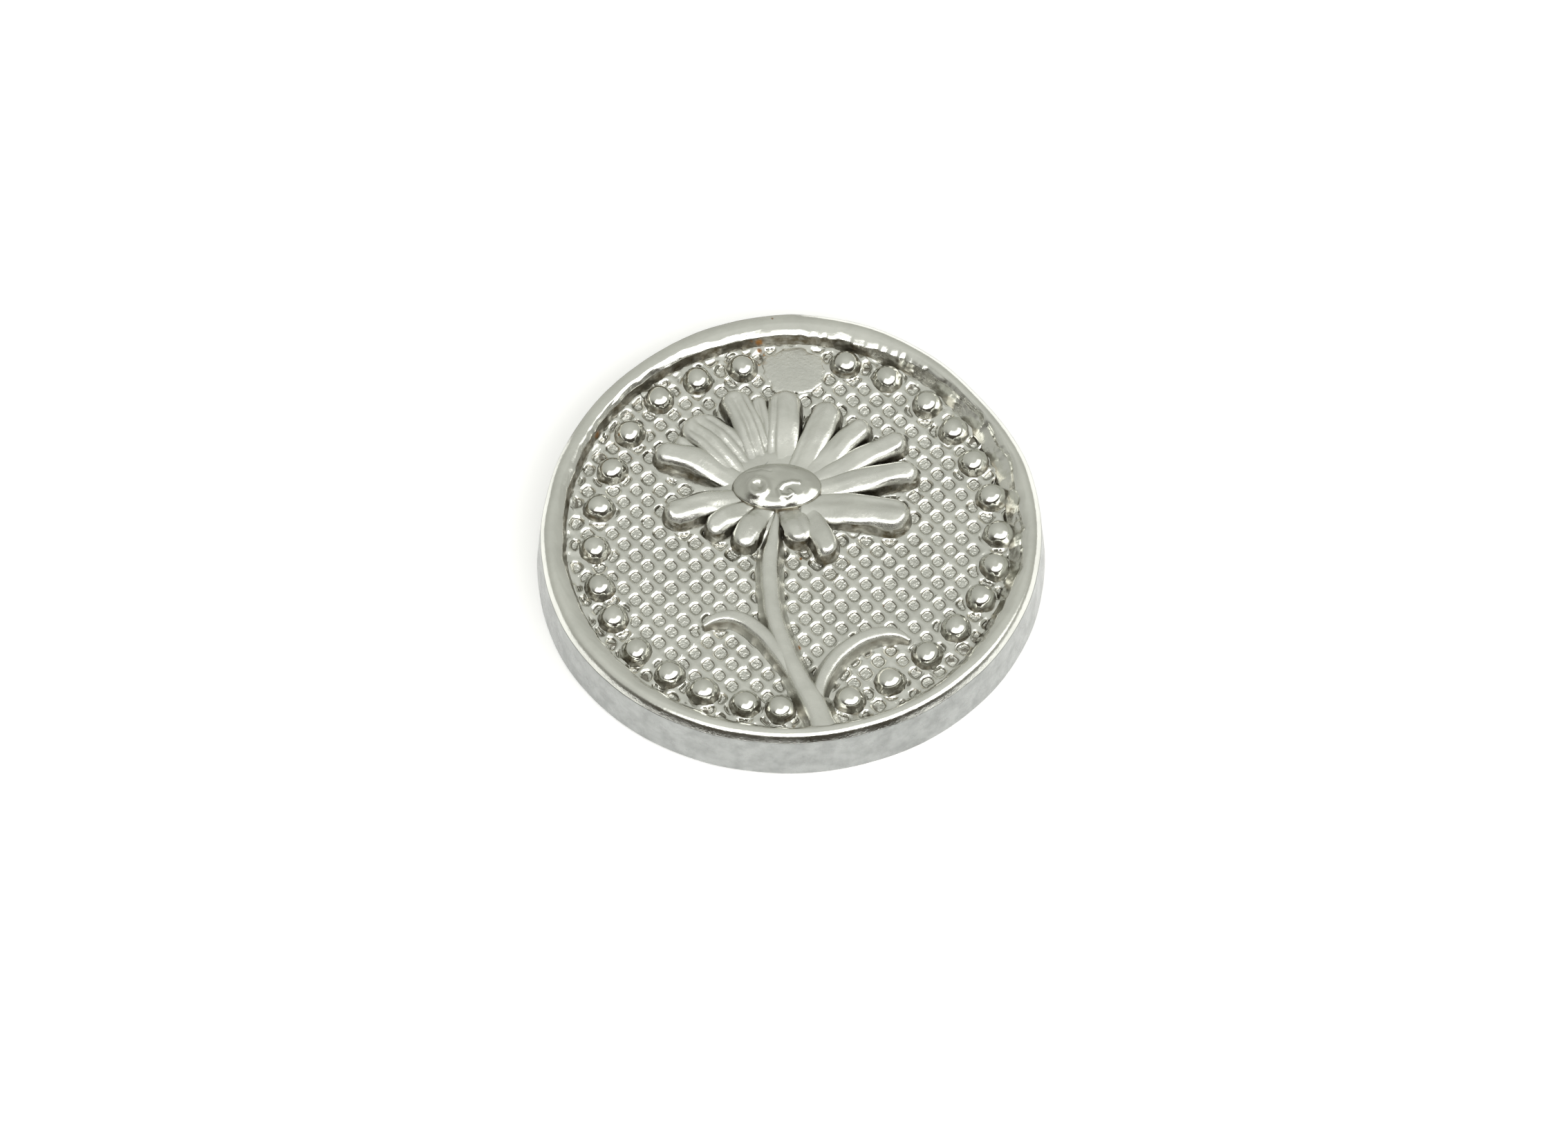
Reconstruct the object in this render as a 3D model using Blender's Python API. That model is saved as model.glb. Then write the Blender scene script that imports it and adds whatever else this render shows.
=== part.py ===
"""Transit token: a struck metal disc with a raised rim, a ring of beads, a dimpled field and a daisy."""
import math

import bmesh
import bpy
from mathutils import Vector
from mathutils.geometry import delaunay_2d_cdt

# All lengths below are in millimetres, with +Z up, +Y towards twelve o'clock and the origin under the disc.
MM = 0.001
GAP = 0.02                  # clearance left between neighbouring features
SEGMENTS = 96               # facets around the disc

# Disc levels and radii.
RADIUS = 10.0               # at the top of the edge wall
FLARE = 0.20                # how much wider the disc is at its foot
EDGE_ROUND = 0.18           # rounding where the wall meets the underside
BODY_TOP = 1.40
FIELD_TOP = 1.80
RIM_TOP = 2.60
RIM_INNER = 9.05            # radius of the foot of the rim's inner slope
OUTLINE_WAVES = ((1, 0.006, 61), (2, 0.0095, 62), (3, 0.009, -96))  # waves a turn, share of radius, degrees

# Beads: (degrees from +X, distance from the centre).
BEAD_RADIUS = 0.64
BEAD_HEIGHT = 0.60
BEADS = (
    (74.5, 8.35), (62, 8.35), (48, 8.25), (36.5, 8.2), (24.5, 8.1), (12, 8.25), (0, 8.35), (-10.5, 8.3),
    (-21.5, 8.15), (-33.5, 7.9), (-46, 7.8), (-60, 7.85), (-73, 8.0), (104, 8.1), (117.5, 8.2),
    (130, 8.3), (144, 8.05), (157.5, 7.8), (171, 7.8), (185, 7.9), (198, 8.05), (209, 8.1),
    (221.5, 8.2), (233.5, 8.1), (244.5, 8.05), (257, 8.05), (267, 8.1),
)

# Dimples: shallow four-sided pits on a slanting lattice.
DIMPLE_ORIGIN = (0.58, -1.80)
DIMPLE_STEP_A = (0.97, 0.02)
DIMPLE_STEP_B = (0.485, 0.52)
DIMPLE_CORNERS = ((1, 0), (0, 1), (-1, 0), (0, -1))
DIMPLE_MOUTH = 0.29         # half diagonal at the surface
DIMPLE_FLOOR = 0.21         # half diagonal at the bottom
DIMPLE_DEPTH = 0.14
DIMPLE_LIMIT = 8.66         # farthest dimple centre from the middle

# Smooth pad that takes the place of a bead at twelve o'clock.
PAD_CENTRE = (0.12, 7.80)
PAD_HALF = (1.15, 1.00)
PAD_HEIGHT = 0.10

# Flower centre: an oval dome.
DOME_CENTRE = (-0.55, 1.95)
DOME_HALF = (1.85, 1.12)
DOME_TOP = 2.74
DOME_SEGMENTS = 36

# Petals, in turn around the flower: (root, tip, width, crest height above the field).
PETAL_PLAN = (
    ((0.9, 1.05), (4.7, 0.55), 1.30, 0.76),
    ((1.2, 1.75), (5.1, 2.75), 0.95, 0.76),
    ((1.1, 2.3), (4.6, 4.3), 0.85, 0.76),
    ((0.9, 2.6), (3.1, 5.0), 0.85, 0.75),
    ((0.3, 2.8), (1.65, 5.95), 1.05, 0.75),
    ((-0.4, 2.9), (-0.2, 6.45), 1.25, 0.78),
    ((-0.9, 2.9), (-1.3, 6.25), 0.75, 0.66),
    ((-1.2, 2.9), (-2.45, 6.45), 1.15, 0.76),
    ((-1.9, 2.6), (-4.1, 5.15), 1.60, 0.74),
    ((-2.5, 2.6), (-4.6, 4.3), 0.60, 0.56),
    ((-2.3, 2.15), (-5.4, 3.65), 0.95, 0.78),
    ((-2.0, 1.35), (-5.0, 0.65), 0.95, 0.78),
    ((-1.7, 1.0), (-3.25, -0.05), 0.75, 0.74),
    ((-1.0, 0.9), (-2.1, -0.75), 0.85, 0.76),
    ((-0.05, 0.8), (0.4, -0.55), 1.00, 0.74),
    ((0.9, 0.8), (1.6, -1.15), 0.90, 0.80),
)
# Petal outline: (share of the length, share of the width, share of the height).
PETAL_PROFILE = (
    (0.0, 0.75, 0.9), (0.25, 0.85, 1.0), (0.55, 1.0, 1.0), (0.8, 0.98, 0.95), (0.94, 0.8, 0.84),
    (1.0, 0.45, 0.62),
)

# Stem and leaves: (x, y, width, crest height above the field) along the centre line.
STEM = (
    (-0.6, 0.65, 0.15, 0.42), (-0.62, 0.2, 0.30, 0.50), (-0.74, -0.6, 0.60, 0.54),
    (-0.84, -1.4, 0.74, 0.56), (-0.84, -2.2, 0.76, 0.57), (-0.78, -3.1, 0.74, 0.58),
    (-0.66, -4.0, 0.74, 0.58), (-0.38, -5.0, 0.76, 0.59), (-0.02, -6.0, 0.76, 0.60),
    (0.40, -7.0, 0.84, 0.62), (0.86, -7.9, 0.92, 0.65), (1.20, -8.75, 0.92, 0.68),
)
LEAF_LEFT = (
    (0.15, -7.1, 0.25, 0.42), (-0.08, -6.5, 0.46, 0.52), (-0.42, -5.8, 0.54, 0.55),
    (-0.85, -5.15, 0.58, 0.56), (-1.35, -4.58, 0.60, 0.56), (-1.9, -4.15, 0.58, 0.56),
    (-2.5, -3.98, 0.52, 0.54), (-3.05, -4.1, 0.42, 0.50), (-3.4, -4.35, 0.22, 0.38),
)
LEAF_RIGHT = (
    (1.15, -7.6, 0.30, 0.42), (1.22, -7.1, 0.46, 0.52), (1.42, -6.55, 0.54, 0.55),
    (1.78, -5.95, 0.58, 0.56), (2.25, -5.45, 0.60, 0.57), (2.85, -5.04, 0.58, 0.57),
    (3.4, -4.82, 0.54, 0.56), (3.9, -4.78, 0.48, 0.54), (4.35, -4.86, 0.36, 0.48),
    (4.62, -5.02, 0.18, 0.36),
)
# Cross-section of a ridge: (share of the width, share of the height).
RIDGE_SECTION = (
    (-0.5, 0.0), (-0.48, 0.45), (-0.38, 0.8), (-0.18, 0.97), (0.18, 0.97), (0.38, 0.8), (0.48, 0.45),
    (0.5, 0.0),
)

# Metals: (linear colour, roughness).
METALS = {
    "edge_metal": ((0.50, 0.51, 0.50), 0.42),
    "rim_metal": ((0.52, 0.52, 0.49), 0.26),
    "field_metal": ((0.40, 0.40, 0.36), 0.45),
    "relief_metal": ((0.55, 0.55, 0.51), 0.20),
}


def wave(angle):
    """Radius factor of the slightly uneven outline at one angle."""
    waves = [share * math.cos(turns * angle - math.radians(phase)) for turns, share, phase in OUTLINE_WAVES]
    return 1.0 + sum(waves)


def outline_centre():
    """Middle of the outline's bounding box, so that the disc can be centred on the origin."""
    angles = [math.tau * i / SEGMENTS for i in range(SEGMENTS)]
    xs = [(RADIUS + FLARE) * wave(a) * math.cos(a) for a in angles]
    ys = [(RADIUS + FLARE) * wave(a) * math.sin(a) for a in angles]
    return (min(xs) + max(xs)) / 2, (min(ys) + max(ys)) / 2


CENTRE = outline_centre()


def point(x, y, z):
    """A millimetre position as a mesh coordinate in metres, centred on the outline's bounding box."""
    return Vector(((x - CENTRE[0]) * MM, (y - CENTRE[1]) * MM, z * MM))


def clear_scene():
    for obj in list(bpy.data.objects):
        bpy.data.objects.remove(obj, do_unlink=True)


def make_collection(name):
    collection = bpy.data.collections.new(name)
    bpy.context.scene.collection.children.link(collection)
    return collection


def make_metal(name):
    colour, roughness = METALS[name]
    material = bpy.data.materials.new(name)
    material.use_nodes = True
    shader = material.node_tree.nodes["Principled BSDF"]
    shader.inputs["Base Color"].default_value = (*colour, 1.0)
    shader.inputs["Metallic"].default_value = 1.0
    shader.inputs["Roughness"].default_value = roughness
    return material


def finish_mesh(bm, name, collection, metal=None, smooth_degrees=40):
    """Turn a bmesh into a linked object with outward faces and a metal."""
    bmesh.ops.recalc_face_normals(bm, faces=bm.faces)
    mesh = bpy.data.meshes.new(name)
    bm.to_mesh(mesh)
    bm.free()
    obj = bpy.data.objects.new(name, mesh)
    collection.objects.link(obj)
    if metal is not None:
        mesh.materials.append(bpy.data.materials[metal])
    mesh.shade_smooth()
    mesh.set_sharp_from_angle(angle=math.radians(smooth_degrees))
    return obj


def as_cutter(obj):
    obj.hide_render = True
    obj.display_type = "WIRE"
    return obj


def subtract(obj, cutter):
    modifier = obj.modifiers.new("cut_" + cutter.name, "BOOLEAN")
    modifier.operation = "DIFFERENCE"
    modifier.solver = "EXACT"
    modifier.object = cutter


def wall_radius(z):
    """Radius of the drafted edge wall at a height."""
    return RADIUS + FLARE * (1.0 - z / RIM_TOP)


def ring_of_points(bm, radius, follow, z):
    """One closed ring of vertices; follow is how far it keeps to the uneven outline, from 0 to 1."""
    ring = []
    for i in range(SEGMENTS):
        angle = math.tau * i / SEGMENTS
        reach = radius * (1.0 + follow * (wave(angle) - 1.0))
        ring.append(bm.verts.new(point(reach * math.cos(angle), reach * math.sin(angle), z)))
    return ring


def bridge(bm, lower, upper):
    count = len(lower)
    for i in range(count):
        j = (i + 1) % count
        bm.faces.new((lower[i], lower[j], upper[j], upper[i]))


def build_blank(collection):
    """The plain lower part of the disc, with the smooth underside and most of the edge wall."""
    bm = bmesh.new()
    profile = (
        (wall_radius(0.0) - EDGE_ROUND, 0.0), (wall_radius(0.0) - EDGE_ROUND * 0.3, EDGE_ROUND * 0.3),
        (wall_radius(EDGE_ROUND), EDGE_ROUND), (wall_radius(BODY_TOP - GAP), BODY_TOP - GAP),
    )
    rings = [ring_of_points(bm, radius, 1.0, z) for radius, z in profile]
    for lower, upper in zip(rings, rings[1:]):
        bridge(bm, lower, upper)
    bm.faces.new(rings[0])
    bm.faces.new(rings[-1])
    return finish_mesh(bm, "blank", collection, "edge_metal")


def build_rim(collection):
    """The raised ring around the face, rounded on top and sloping down to the field."""
    bm = bmesh.new()
    profile = (
        (wall_radius(BODY_TOP), 1.0, BODY_TOP), (RADIUS, 1.0, RIM_TOP - 0.40),
        (RADIUS - 0.07, 1.0, RIM_TOP - 0.18), (RADIUS - 0.22, 1.0, RIM_TOP - 0.04),
        (RADIUS - 0.42, 0.8, RIM_TOP), (RADIUS - 0.60, 0.5, RIM_TOP - 0.05),
        (RADIUS - 0.72, 0.2, RIM_TOP - 0.22), (RIM_INNER + 0.08, 0.0, RIM_TOP - 0.46),
        (RIM_INNER, 0.0, BODY_TOP),
    )
    rings = [ring_of_points(bm, radius, follow, z) for radius, follow, z in profile]
    for lower, upper in zip(rings, rings[1:] + rings[:1]):
        bridge(bm, lower, upper)
    return finish_mesh(bm, "rim", collection, "rim_metal")


def distance_to_line(x, y, line):
    """Shortest distance from a point to a chain of (x, y, half width) knots, less the width there."""
    best = math.inf
    for (ax, ay, aw), (bx, by, bw) in zip(line, line[1:]):
        dx, dy = bx - ax, by - ay
        t = max(0.0, min(1.0, ((x - ax) * dx + (y - ay) * dy) / (dx * dx + dy * dy)))
        best = min(best, math.hypot(x - ax - t * dx, y - ay - t * dy) - aw - t * (bw - aw))
    return best


def bead_centres():
    return [(r * math.cos(math.radians(a)), r * math.sin(math.radians(a))) for a, r in BEADS]


def dimple_is_free(x, y):
    """True where a dimple would lie clear of the rim, the beads, the pad and the flower."""
    margin = DIMPLE_MOUTH + GAP
    if math.hypot(x, y) > DIMPLE_LIMIT:
        return False
    if any(math.hypot(x - bx, y - by) < BEAD_RADIUS + margin for bx, by in bead_centres()):
        return False
    if abs(x - PAD_CENTRE[0]) < PAD_HALF[0] + margin and abs(y - PAD_CENTRE[1]) < PAD_HALF[1] + margin:
        return False
    across = (x - DOME_CENTRE[0]) / (DOME_HALF[0] + margin)
    along = (y - DOME_CENTRE[1]) / (DOME_HALF[1] + margin)
    if math.hypot(across, along) < 1.0:
        return False
    for root, tip, width, _ in PETAL_PLAN:
        if distance_to_line(x, y, ((*root, width / 2), (*tip, width / 2.6))) < margin:
            return False
    for line in (STEM, LEAF_LEFT, LEAF_RIGHT):
        if distance_to_line(x, y, [(px, py, width / 2) for px, py, width, _ in line]) < margin:
            return False
    return True


def dimple_centres():
    found = []
    for a in range(-24, 25):
        for b in range(-30, 31):
            x = DIMPLE_ORIGIN[0] + a * DIMPLE_STEP_A[0] + b * DIMPLE_STEP_B[0]
            y = DIMPLE_ORIGIN[1] + a * DIMPLE_STEP_A[1] + b * DIMPLE_STEP_B[1]
            if dimple_is_free(x, y):
                found.append((x, y))
    return found


def build_field(collection):
    """The recessed plate inside the rim, with a lattice of dimples sunk in its top."""
    outer = RIM_INNER - GAP
    flat = [Vector((outer * math.cos(math.tau * i / SEGMENTS), outer * math.sin(math.tau * i / SEGMENTS)))
            for i in range(SEGMENTS)]
    faces = [list(range(SEGMENTS))]
    centres = dimple_centres()
    for x, y in centres:
        first = len(flat)
        flat += [Vector((x + dx * DIMPLE_MOUTH, y + dy * DIMPLE_MOUTH)) for dx, dy in DIMPLE_CORNERS]
        faces.append([first, first + 1, first + 2, first + 3])
    spots, _, triangles, source_verts, _, source_faces = delaunay_2d_cdt(flat, [], faces, 1, 1e-6)
    bm = bmesh.new()
    top = [bm.verts.new(point(spot.x, spot.y, FIELD_TOP)) for spot in spots]
    placed = {source: top[i] for i, sources in enumerate(source_verts) for source in sources}
    for corners, inside in zip(triangles, source_faces):
        if max(inside) == 0:
            bm.faces.new([top[i] for i in corners])
    for number, (x, y) in enumerate(centres):
        mouth = [placed[i] for i in faces[number + 1]]
        floor = [bm.verts.new(point(x + dx * DIMPLE_FLOOR, y + dy * DIMPLE_FLOOR, FIELD_TOP - DIMPLE_DEPTH))
                 for dx, dy in DIMPLE_CORNERS]
        bridge(bm, mouth, floor)
        bm.faces.new(floor)
    lower = [bm.verts.new(point(flat[i].x, flat[i].y, BODY_TOP)) for i in range(SEGMENTS)]
    bridge(bm, lower, [placed[i] for i in range(SEGMENTS)])
    bm.faces.new(lower)
    return finish_mesh(bm, "dimpled_field", collection, "field_metal", 25)


def build_dome(bm, cx, cy, half_x, half_y, base, height, segments, levels):
    """Stack of shrinking oval rings that closes in a small flat top."""
    rings = []
    for share_out, share_up in levels:
        ring = []
        for i in range(segments):
            angle = math.tau * i / segments
            x = cx + half_x * share_out * math.cos(angle)
            y = cy + half_y * share_out * math.sin(angle)
            ring.append(bm.verts.new(point(x, y, base + height * share_up)))
        rings.append(ring)
    for lower, upper in zip(rings, rings[1:]):
        bridge(bm, lower, upper)
    bm.faces.new(rings[0])
    bm.faces.new(rings[-1])


def build_beads(collection):
    levels = ((1.0, 0.0), (0.97, 0.32), (0.83, 0.64), (0.56, 0.88), (0.2, 1.0))
    for number, (x, y) in enumerate(bead_centres(), start=1):
        bm = bmesh.new()
        build_dome(bm, x, y, BEAD_RADIUS, BEAD_RADIUS, FIELD_TOP + GAP, BEAD_HEIGHT, 14, levels)
        finish_mesh(bm, "bead_%02d" % number, collection, "relief_metal", 60)


def build_pad(collection):
    bm = bmesh.new()
    levels = ((1.0, 0.0), (1.0, 0.6), (0.95, 1.0))
    build_dome(bm, *PAD_CENTRE, *PAD_HALF, FIELD_TOP + GAP, PAD_HEIGHT, 28, levels)
    return finish_mesh(bm, "smooth_pad", collection, "relief_metal")


def build_flower_centre(collection):
    bm = bmesh.new()
    levels = ((1.0, 0.0), (1.0, 0.66), (0.95, 0.80), (0.82, 0.90), (0.6, 0.97), (0.3, 1.0))
    height = DOME_TOP - FIELD_TOP - GAP
    build_dome(bm, *DOME_CENTRE, *DOME_HALF, FIELD_TOP + GAP, height, DOME_SEGMENTS, levels)
    return finish_mesh(bm, "flower_centre", collection, "relief_metal")


def build_dome_cutter(collection):
    """Upright oval block, a clearance wider than the flower centre, that trims the petal roots."""
    bm = bmesh.new()
    reach = (DOME_HALF[0] + GAP, DOME_HALF[1] + GAP)
    build_dome(bm, *DOME_CENTRE, *reach, FIELD_TOP - 0.5, 2.0, DOME_SEGMENTS, ((1.0, 0.0), (1.0, 1.0)))
    return as_cutter(finish_mesh(bm, "flower_centre_cutter", collection))


def build_ridge(bm, knots, base, section):
    """Sweep a rounded section along knots of (x, y, width, height) and close both ends."""
    rows = []
    for i, (x, y, width, height) in enumerate(knots):
        before, after = knots[max(i - 1, 0)], knots[min(i + 1, len(knots) - 1)]
        along = Vector((after[0] - before[0], after[1] - before[1])).normalized()
        side = Vector((-along.y, along.x))
        rows.append([bm.verts.new(point(x + side.x * width * s, y + side.y * width * s, base + height * u))
                     for s, u in section])
    for near, far in zip(rows, rows[1:]):
        bridge(bm, near, far)
    bm.faces.new(rows[0])
    bm.faces.new(rows[-1])


def petal_knots(root, tip, width, height):
    return [(root[0] + (tip[0] - root[0]) * t, root[1] + (tip[1] - root[1]) * t, width * w, height * h)
            for t, w, h in PETAL_PROFILE]


def keep_side(bm, start, end, keep_left):
    """Cut a body with the upright plane from start to end, half a clearance inside its own side."""
    along = Vector((end[0] - start[0], end[1] - start[1])).normalized()
    left = Vector((-along.y, along.x, 0.0))
    outward = -left if keep_left else left
    origin = point(start[0], start[1], 0.0) - outward * (GAP / 2 * MM)
    geometry = list(bm.verts) + list(bm.edges) + list(bm.faces)
    cut = bmesh.ops.bisect_plane(
        bm, geom=geometry, dist=1e-9, plane_co=origin, plane_no=outward, clear_outer=True)
    edges = [item for item in cut["geom_cut"] if isinstance(item, bmesh.types.BMEdge)]
    if edges:
        bmesh.ops.holes_fill(bm, edges=edges, sides=0)


def build_petals(collection, cutter):
    """One body a petal, each kept to its own side of the plane it shares with the next petal."""
    count = len(PETAL_PLAN)
    for number, (root, tip, width, height) in enumerate(PETAL_PLAN):
        bm = bmesh.new()
        build_ridge(bm, petal_knots(root, tip, width, height), FIELD_TOP + GAP, RIDGE_SECTION)
        for step, keep_left in ((1, False), (-1, True)):
            other_root, other_tip = PETAL_PLAN[(number + step) % count][:2]
            start = ((root[0] + other_root[0]) / 2, (root[1] + other_root[1]) / 2)
            end = ((tip[0] + other_tip[0]) / 2, (tip[1] + other_tip[1]) / 2)
            keep_side(bm, start, end, keep_left)
        petal = finish_mesh(bm, "petal_%02d" % (number + 1), collection, "relief_metal")
        subtract(petal, cutter)


def build_stem(collection):
    bm = bmesh.new()
    build_ridge(bm, STEM, FIELD_TOP + GAP, RIDGE_SECTION)
    return finish_mesh(bm, "stem", collection, "relief_metal")


def build_stem_cutter(collection):
    """Upright slab, a clearance wider than the stem, that trims the leaf roots."""
    bm = bmesh.new()
    knots = [(x, y, width + 2 * GAP, 1.5) for x, y, width, _ in STEM]
    build_ridge(bm, knots, FIELD_TOP - 0.5, ((-0.5, 0.0), (-0.5, 1.0), (0.5, 1.0), (0.5, 0.0)))
    return as_cutter(finish_mesh(bm, "stem_cutter", collection))


def build_leaf(collection, name, knots, cutter):
    bm = bmesh.new()
    build_ridge(bm, knots, FIELD_TOP + GAP, RIDGE_SECTION)
    leaf = finish_mesh(bm, name, collection, "relief_metal")
    subtract(leaf, cutter)


def build_token():
    clear_scene()
    token = make_collection("transit_token")
    cutters = make_collection("cutters")
    for name in METALS:
        make_metal(name)
    build_blank(token)
    build_rim(token)
    build_field(token)
    build_beads(token)
    build_pad(token)
    build_flower_centre(token)
    build_petals(token, build_dome_cutter(cutters))
    build_stem(token)
    stem_cutter = build_stem_cutter(cutters)
    build_leaf(token, "leaf_left", LEAF_LEFT, stem_cutter)
    build_leaf(token, "leaf_right", LEAF_RIGHT, stem_cutter)


build_token()
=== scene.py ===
"""Transit token: detailed struck-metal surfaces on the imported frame, lit as a product picture."""

import math

import bpy
import numpy as np
from mathutils import Matrix, Vector


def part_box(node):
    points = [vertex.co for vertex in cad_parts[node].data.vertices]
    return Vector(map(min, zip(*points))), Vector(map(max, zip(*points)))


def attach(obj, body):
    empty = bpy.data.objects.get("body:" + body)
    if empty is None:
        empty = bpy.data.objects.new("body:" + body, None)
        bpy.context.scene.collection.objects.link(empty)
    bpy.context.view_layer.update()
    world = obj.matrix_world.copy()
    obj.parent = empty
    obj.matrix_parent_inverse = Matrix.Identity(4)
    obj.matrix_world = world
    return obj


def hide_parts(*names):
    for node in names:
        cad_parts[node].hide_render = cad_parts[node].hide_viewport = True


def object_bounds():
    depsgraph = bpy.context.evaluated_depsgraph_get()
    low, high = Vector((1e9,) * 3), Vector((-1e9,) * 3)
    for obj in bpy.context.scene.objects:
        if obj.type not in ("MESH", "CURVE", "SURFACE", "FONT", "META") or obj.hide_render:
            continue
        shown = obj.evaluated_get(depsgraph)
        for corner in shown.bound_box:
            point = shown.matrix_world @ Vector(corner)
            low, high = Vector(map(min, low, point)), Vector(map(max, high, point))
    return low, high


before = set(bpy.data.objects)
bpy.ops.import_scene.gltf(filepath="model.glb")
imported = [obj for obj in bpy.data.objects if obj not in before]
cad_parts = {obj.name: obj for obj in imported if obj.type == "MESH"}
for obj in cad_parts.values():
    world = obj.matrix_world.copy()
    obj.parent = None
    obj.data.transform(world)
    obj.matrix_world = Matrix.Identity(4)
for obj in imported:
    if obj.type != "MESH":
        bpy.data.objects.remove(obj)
CAD_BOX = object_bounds()

MM = 0.001

# The disc, in millimetres, in the CAD's own layout before it is centred on its box.
RING_POINTS = 1080          # points around the edge wall and the rim
RADIUS = 10.0               # at the top of the edge wall
FLARE = 0.20                # how much wider the disc is at its foot
FOOT_ROUND = 0.14           # rounding where the wall meets the underside
OUTLINE_WAVES = ((1, 0.006, 61), (2, 0.0095, 62), (3, 0.009, -96))  # waves a turn, share of radius, degrees
EDGE_FLAT = (42, 17, 0.16)  # bearing and spread in degrees, and depth, of a flatter stretch of the outline
FIELD = 1.80                # level of the ground between the pits
PLATE_BASE = 1.45           # underside of the field's plate, inside the disc
CORE = 1.50                 # level where the edge wall and the rim end inside the disc

# The rim. Its spans are a bearing and a spread in degrees.
RIM_TOP = 2.58
RIM_INNER = 9.05            # radius of the foot of the inner slope
RIM_FALL = 0.20             # fall from the crest to the inner lip
SHOULDER = 2.18             # height where the edge wall meets the rounded rim, at the front
BACK_RISE = 0.27            # how much higher the wall reaches at the back, where the rim is squarer
BACK_SPAN = (118, 48)
SLACK_SPAN = (12, 40)       # where the inner slope is wider and more ragged
NOTCHED = ((50, 58), (100, 78))     # bearings where the notches of the lip start and end, softly
# The rounded outside, from the crease up: width and slope in degrees of each short step.
RIM_ROUND = (
    (0.004, 59), (0.05, 58), (0.05, 57), (0.045, 55), (0.045, 47), (0.045, 38), (0.045, 29),
    (0.04, 20), (0.05, 11), (0.05, 4),
)
RIM_ROUND_RISE = 0.385      # rise of the rounded outside at which those slopes are not squashed

# Beads as degrees from +X and distance from the centre. The first one also gives the CAD's centring.
BEADS = (
    (74.5, 8.35), (62, 8.35), (48, 8.25), (36.5, 8.2), (24.5, 8.1), (12, 8.25), (0, 8.35), (-10.5, 8.3),
    (-21.5, 8.15), (-33.5, 7.9), (-46, 7.8), (-60, 7.85), (-73, 8.0), (104, 8.1), (117.5, 8.2),
    (130, 8.3), (144, 8.05), (157.5, 7.8), (171, 7.8), (185, 7.9), (198, 8.05), (209, 8.1),
    (221.5, 8.2), (233.5, 8.1), (244.5, 8.05), (257, 8.05), (267, 8.1),
)
BEAD_TOP = 0.62
BEAD_BALL = 0.585           # radius of the ball that the cap is a part of
BEAD_WAIST = 59             # degrees from the top of the ball to the crease under the cap
BEAD_WALL = ((0.67, -0.10), (0.645, 0.0), (0.61, 0.09), (0.57, 0.20))   # radius and height up the wall
BEAD_NECK = 0.535           # radius just under the cap

# The smooth pad: its outline's half sizes, and its section as share of them and height.
PAD_CENTRE = (0.12, 7.80)
PAD_HALF = (1.28, 1.10)
PAD_SECTION = (
    (1.03, -0.12), (1.02, -0.03), (0.985, 0.010), (0.94, 0.030), (0.86, 0.036), (0.7, 0.038),
    (0.5, 0.038), (0.3, 0.038), (0.15, 0.038), (0.04, 0.038),
)

# Petals, in turn around the flower: root, tip, width across the top, crest height, sideways bow at the
# middle, and grooves as (place across from -1 to 1, depth, width).
PETALS = (
    ((0.4, 1.1), (4.75, 0.55), 1.42, 0.80, 0.10, ()),
    ((0.6, 1.75), (5.1, 2.72), 1.04, 0.80, 0.06, ()),
    ((0.5, 2.05), (4.6, 4.3), 0.98, 0.78, 0.0, ()),
    ((0.4, 2.25), (3.1, 5.0), 1.00, 0.77, 0.0, ()),
    ((0.1, 2.3), (1.65, 5.95), 1.16, 0.76, -0.05, ((0.5, 0.03, 0.10),)),
    ((-0.4, 2.3), (-0.2, 6.48), 1.28, 0.80, 0.0, ((0.45, 0.10, 0.085),)),
    ((-0.7, 2.3), (-1.3, 6.3), 0.80, 0.70, 0.0, ((0.1, 0.07, 0.08),)),
    ((-0.9, 2.3), (-2.45, 6.45), 1.20, 0.80, -0.12, ((-0.50, 0.10, 0.09), (0.10, 0.08, 0.12))),
    ((-1.3, 2.2), (-4.15, 5.15), 1.70, 0.78, -0.15,
     ((-0.50, 0.10, 0.085), (-0.10, 0.10, 0.085), (0.38, 0.08, 0.10))),
    ((-1.9, 2.2), (-4.7, 4.3), 0.90, 0.58, 0.0, ()),
    ((-1.7, 1.95), (-5.45, 3.65), 1.04, 0.82, -0.28, ()),
    ((-1.5, 1.5), (-5.05, 0.62), 1.08, 0.80, -0.14, ()),
    ((-1.2, 1.3), (-3.3, -0.08), 0.95, 0.78, -0.10, ()),
    ((-0.8, 1.2), (-2.1, -0.75), 0.98, 0.78, -0.08, ()),
    ((-0.1, 1.2), (0.45, -0.6), 1.12, 0.74, 0.0, ()),
    ((0.5, 1.2), (1.62, -1.2), 0.92, 0.82, 0.0, ()),
)
PETAL_DISH = 0.36           # share of the crest height lost at a petal's root
BACK_DISH = 0.24            # further share lost by the petals that point away to the back left
SHINGLE = 0.10              # rise across a sideways petal towards the lower edge
WALL_RUN = 0.12             # width of the steep wall under a petal's edge
EDGE_DROP = (0.08, 0.21)    # fall of the rounded edge above the wall, at the root and at the tip
EDGE_WIDE = (0.22, 0.28)    # width of the rounded edge, at the root and at the tip
FRONT_FALL = 0.42           # slope down to the front of a sideways petal's front half
BED_RISE = 0.36             # how far the ground swells up between the petals around the flower's centre

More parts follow.
